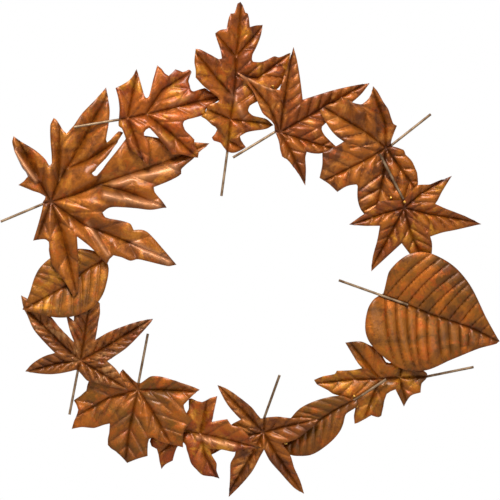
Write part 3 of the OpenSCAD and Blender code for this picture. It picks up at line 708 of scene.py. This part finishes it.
# %% Stain the leaves
RUST, RED, GOLD = rgb(176, 92, 18), rgb(138, 58, 14), rgb(196, 128, 30)
OLIVE, BROWN, PEACH = rgb(122, 74, 14), rgb(104, 54, 16), rgb(190, 116, 44)
STAINS = {
    "linden_leaf": (rgb(146, 84, 16), rgb(112, 66, 12), rgb(178, 96, 22), 0.65),
    "sweetgum_leaf_right": (rgb(162, 90, 20), rgb(134, 66, 16), GOLD, 0.5),
    "maple_leaf_right": (rgb(166, 92, 22), BROWN, PEACH, 0.5),
    "sweetgum_leaf_top": (rgb(162, 88, 24), rgb(138, 68, 18), PEACH, 0.45),
    "oak_leaf_top": (rgb(158, 82, 16), rgb(120, 56, 12), rgb(190, 120, 26), 0.65),
    "oak_leaf_left": (rgb(164, 84, 16), rgb(134, 58, 12), rgb(194, 122, 26), 0.6),
    "big_maple_leaf": (rgb(160, 88, 20), rgb(124, 66, 14), rgb(190, 116, 34), 0.5),
    "hazel_leaf": (rgb(160, 92, 20), OLIVE, GOLD, 0.5),
    "creeper_leaf": (rgb(150, 86, 26), BROWN, rgb(192, 134, 78), 0.5),
    "maple_leaf_left": (rgb(152, 84, 18), OLIVE, RUST, 0.5),
    "oak_leaf_bottom": (rgb(156, 84, 18), RED, GOLD, 0.5),
    "sweetgum_leaf_bottom": (rgb(150, 82, 18), BROWN, rgb(190, 118, 50), 0.55),
    "beech_leaf": (rgb(140, 80, 18), OLIVE, RUST, 0.6),
    "oak_leaf_right": (rgb(164, 90, 18), OLIVE, GOLD, 0.5),
}
for seed, (node, stain) in enumerate(STAINS.items(), start=1):
    leaves[node].data.materials.append(leaf_finish(node + "_stain", *stain, seed))
print("leaf finishes:", len(STAINS))

# %% [markdown]
# ## Stems
# Each stem is a straight steel wire, dull grey brown from the brazing heat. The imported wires
# have the right shape, so they stay and only get their finish.

# %% Stem finish
wire, kit, shader, place = finish("stem_wire_finish")
streaks = band(noise(kit, place, 160.0, 4.0), 0.4, 0.65)
scale_marks = noise(kit, place, 900.0, 3.0)
streaks.mix(rgb(150, 124, 96), rgb(98, 72, 48)).feeds(shader, "Base Color")
(0.35 + scale_marks * 0.3).feeds(shader, "Roughness")
kit.node("ShaderNodeBump", Height=scale_marks, Strength=0.3,
         Distance=0.3 * MM).feeds(shader, "Normal")
shader.inputs["Metallic"].default_value = 0.7
stems = [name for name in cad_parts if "_stem" in name]
for name in stems:
    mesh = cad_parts[name].data
    mesh.materials.clear()
    mesh.materials.append(wire)
print("stems finished:", len(stems))

# %% [markdown]
# ## Braze
# Where a leaf crosses the next, and on the front at a few joins, a drop of brass holds them.
# A drop is never a true ball, so each one is an ico sphere in its packed place, a little
# smaller, with two low waves over it that differ from drop to drop.

# %% Braze finish
brass, kit, shader, place = finish("braze_finish")
tarnish = noise(kit, place, 700.0, 3.0)
band(tarnish, 0.35, 0.7).mix(rgb(236, 190, 92), rgb(170, 106, 40)).feeds(shader, "Base Color")
(0.22 + tarnish * 0.2).feeds(shader, "Roughness")
shader.inputs["Metallic"].default_value = 0.9
print("braze finish ready")

# %% Braze drops
DROP_SHARE = 0.92                 # size of a drop, as a share of its packed ball
WAVE_X, WAVE_Z = 0.042, 0.036     # heights of the two waves, as shares of the radius
TURNS_X, TURNS_Z = 5, 6           # how close together their crests are
PHASE_X, PHASE_Z = 360, 700       # how fast each wave moves from drop to drop


def balls_of(node):
    """The middle and the radius of each ball of a packed bead group."""
    balls = bmesh.new()
    balls.from_mesh(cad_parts[node].data)
    bmesh.ops.remove_doubles(balls, verts=balls.verts, dist=MERGE)
    rest, found = set(balls.verts), []
    while rest:
        group, todo = [], [rest.pop()]
        while todo:
            group.append(todo.pop())
            for edge in group[-1].link_edges:
                other = edge.other_vert(group[-1])
                if other in rest:
                    rest.discard(other)
                    todo.append(other)
        points = np.array([v.co[:] for v in group])
        low, high = points.min(0), points.max(0)
        found.append((tuple((low + high) / 2), (high - low).max() / 2))
    balls.free()
    return sorted(found)


def drop(spot, radius):
    """A lumpy drop of braze in its place."""
    bpy.ops.mesh.primitive_ico_sphere_add(subdivisions=4, radius=radius, location=(0, 0, 0))
    made = bpy.context.object
    for v in made.data.vertices:
        p = v.co / radius
        wave = (WAVE_X * math.sin(TURNS_X * p.x + PHASE_X * spot[0])
                + WAVE_Z * math.sin(TURNS_Z * p.z + PHASE_Z * spot[2]))
        v.co = v.co * (DROP_SHARE + wave) + Vector(spot)
    return made


def drops(node):
    """The drops of a packed bead group, joined as one piece. Returns how many there are."""
    bpy.ops.object.select_all(action="DESELECT")
    made = [drop(spot, radius) for spot, radius in balls_of(node)]
    for one in made:
        one.select_set(True)
    bpy.context.view_layer.objects.active = made[0]
    bpy.ops.object.join()
    piece = bpy.context.object
    piece.name = piece.data.name = node + "_drops"
    piece.data.materials.clear()
    piece.data.materials.append(brass)
    bpy.ops.object.shade_smooth()
    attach(piece, "root")
    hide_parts(node)
    return len(made)


for node in ("lap_brazes", "front_brazes"):
    print(node, "drops:", drops(node))

# %% [markdown]
# ## Floor and background
# The wreath hangs free in front of plain white. The floor lies well below it, out of the
# front camera's view, and keeps its shadow. The background is white for the camera and for
# what the metal mirrors, and weak as a light, so that the lamps alone model the folds.

# %% Floor and sky
FLOOR_X, FLOOR_Y, FLOOR_Z = 20, 16.6, -0.62   # its width, its depth and its level
FLOOR_MIDDLE_Y = -5.7
FLOOR_GLOW, SKY = 0.7, 0.1                    # white added for the camera, light of the sky


def seen_ray(kit):
    """1 for rays that show the background: the camera's, a reflection's or a refraction's."""
    seen = kit.node("ShaderNodeLightPath", out="Is Camera Ray")
    for ray in ("Is Glossy Ray", "Is Transmission Ray"):
        seen = kit.maths("MAXIMUM", seen, kit.node("ShaderNodeLightPath", out=ray))
    return seen


bpy.ops.object.select_all(action="DESELECT")
bpy.ops.mesh.primitive_plane_add(size=1, location=(0, FLOOR_MIDDLE_Y, FLOOR_Z))
floor = bpy.context.object
floor.name = "floor"
floor.scale = (FLOOR_X, FLOOR_Y, 1)
paint, kit, shader, place = finish("floor_paint")
shader.inputs["Base Color"].default_value = (0.86, 0.86, 0.86, 1)
shader.inputs["Roughness"].default_value = 0.8
glow = kit.node("ShaderNodeEmission", Color=(1, 1, 1, 1))
both = kit.node("ShaderNodeMixShader", _0=seen_ray(kit) * FLOOR_GLOW,
                _1=Val(kit.tree, shader.outputs[0]), _2=glow)
both.feeds(kit.tree.nodes["Material Output"], "Surface")
floor.data.materials.append(paint)

world = bpy.data.worlds.new("sky")
bpy.context.scene.world = world
world.use_nodes = True
sky = world.node_tree.nodes["Background"]
sky.inputs["Color"].default_value = (1, 1, 1, 1)
kit = Val(world.node_tree, None)
kit.maths("MAXIMUM", seen_ray(kit), SKY).feeds(sky, "Strength")
print("floor and sky set")

# %% [markdown]
# ## Lamps
# A soft box above and in front models the folds, a weaker wide lamp fills them in from the
# front, and a third one behind the wreath lights its back for the other views.

# %% Lamps
def lamp(name, place, size, power):
    """A square area lamp that shines at the middle of the wreath."""
    light = bpy.data.lights.new(name, "AREA")
    light.shape, light.size, light.energy = "SQUARE", size, power
    holder = bpy.data.objects.new(name, light)
    bpy.context.scene.collection.objects.link(holder)
    holder.location = place
    holder.rotation_euler = (-Vector(place)).to_track_quat("-Z", "Y").to_euler()


lamp("top_soft_box", (-0.2, -1.05, 1.15), 0.5, 26)
lamp("front_fill", (0.5, -2.2, 0.6), 1.0, 8)
lamp("back_fill", (0.5, 1.9, 1.2), 1.2, 20)

# %% [markdown]
# ## Camera
# The camera looks straight at the wreath through a long lens, so that the leaves at the rim
# are seen as flat on as those in the middle. Its distance follows from the width that it
# shows.

# %% Camera
LENS, SENSOR = 135, 36   # the lens and the sensor's width, in millimetres
SHOWN = 0.3819           # the width at the wreath that the camera shows, in metres

lens = bpy.data.cameras.new("long_lens")
lens.lens = LENS
camera = bpy.data.objects.new("camera", lens)
bpy.context.scene.collection.objects.link(camera)
camera.location = (0, -SHOWN * LENS / SENSOR, 0)
camera.rotation_euler = (math.radians(90), 0, 0)
bpy.context.scene.camera = camera
bpy.context.scene.view_settings.view_transform = "Standard"
print("camera at", tuple(round(c, 3) for c in camera.location))

# %% Update the view layer
bpy.context.view_layer.update()
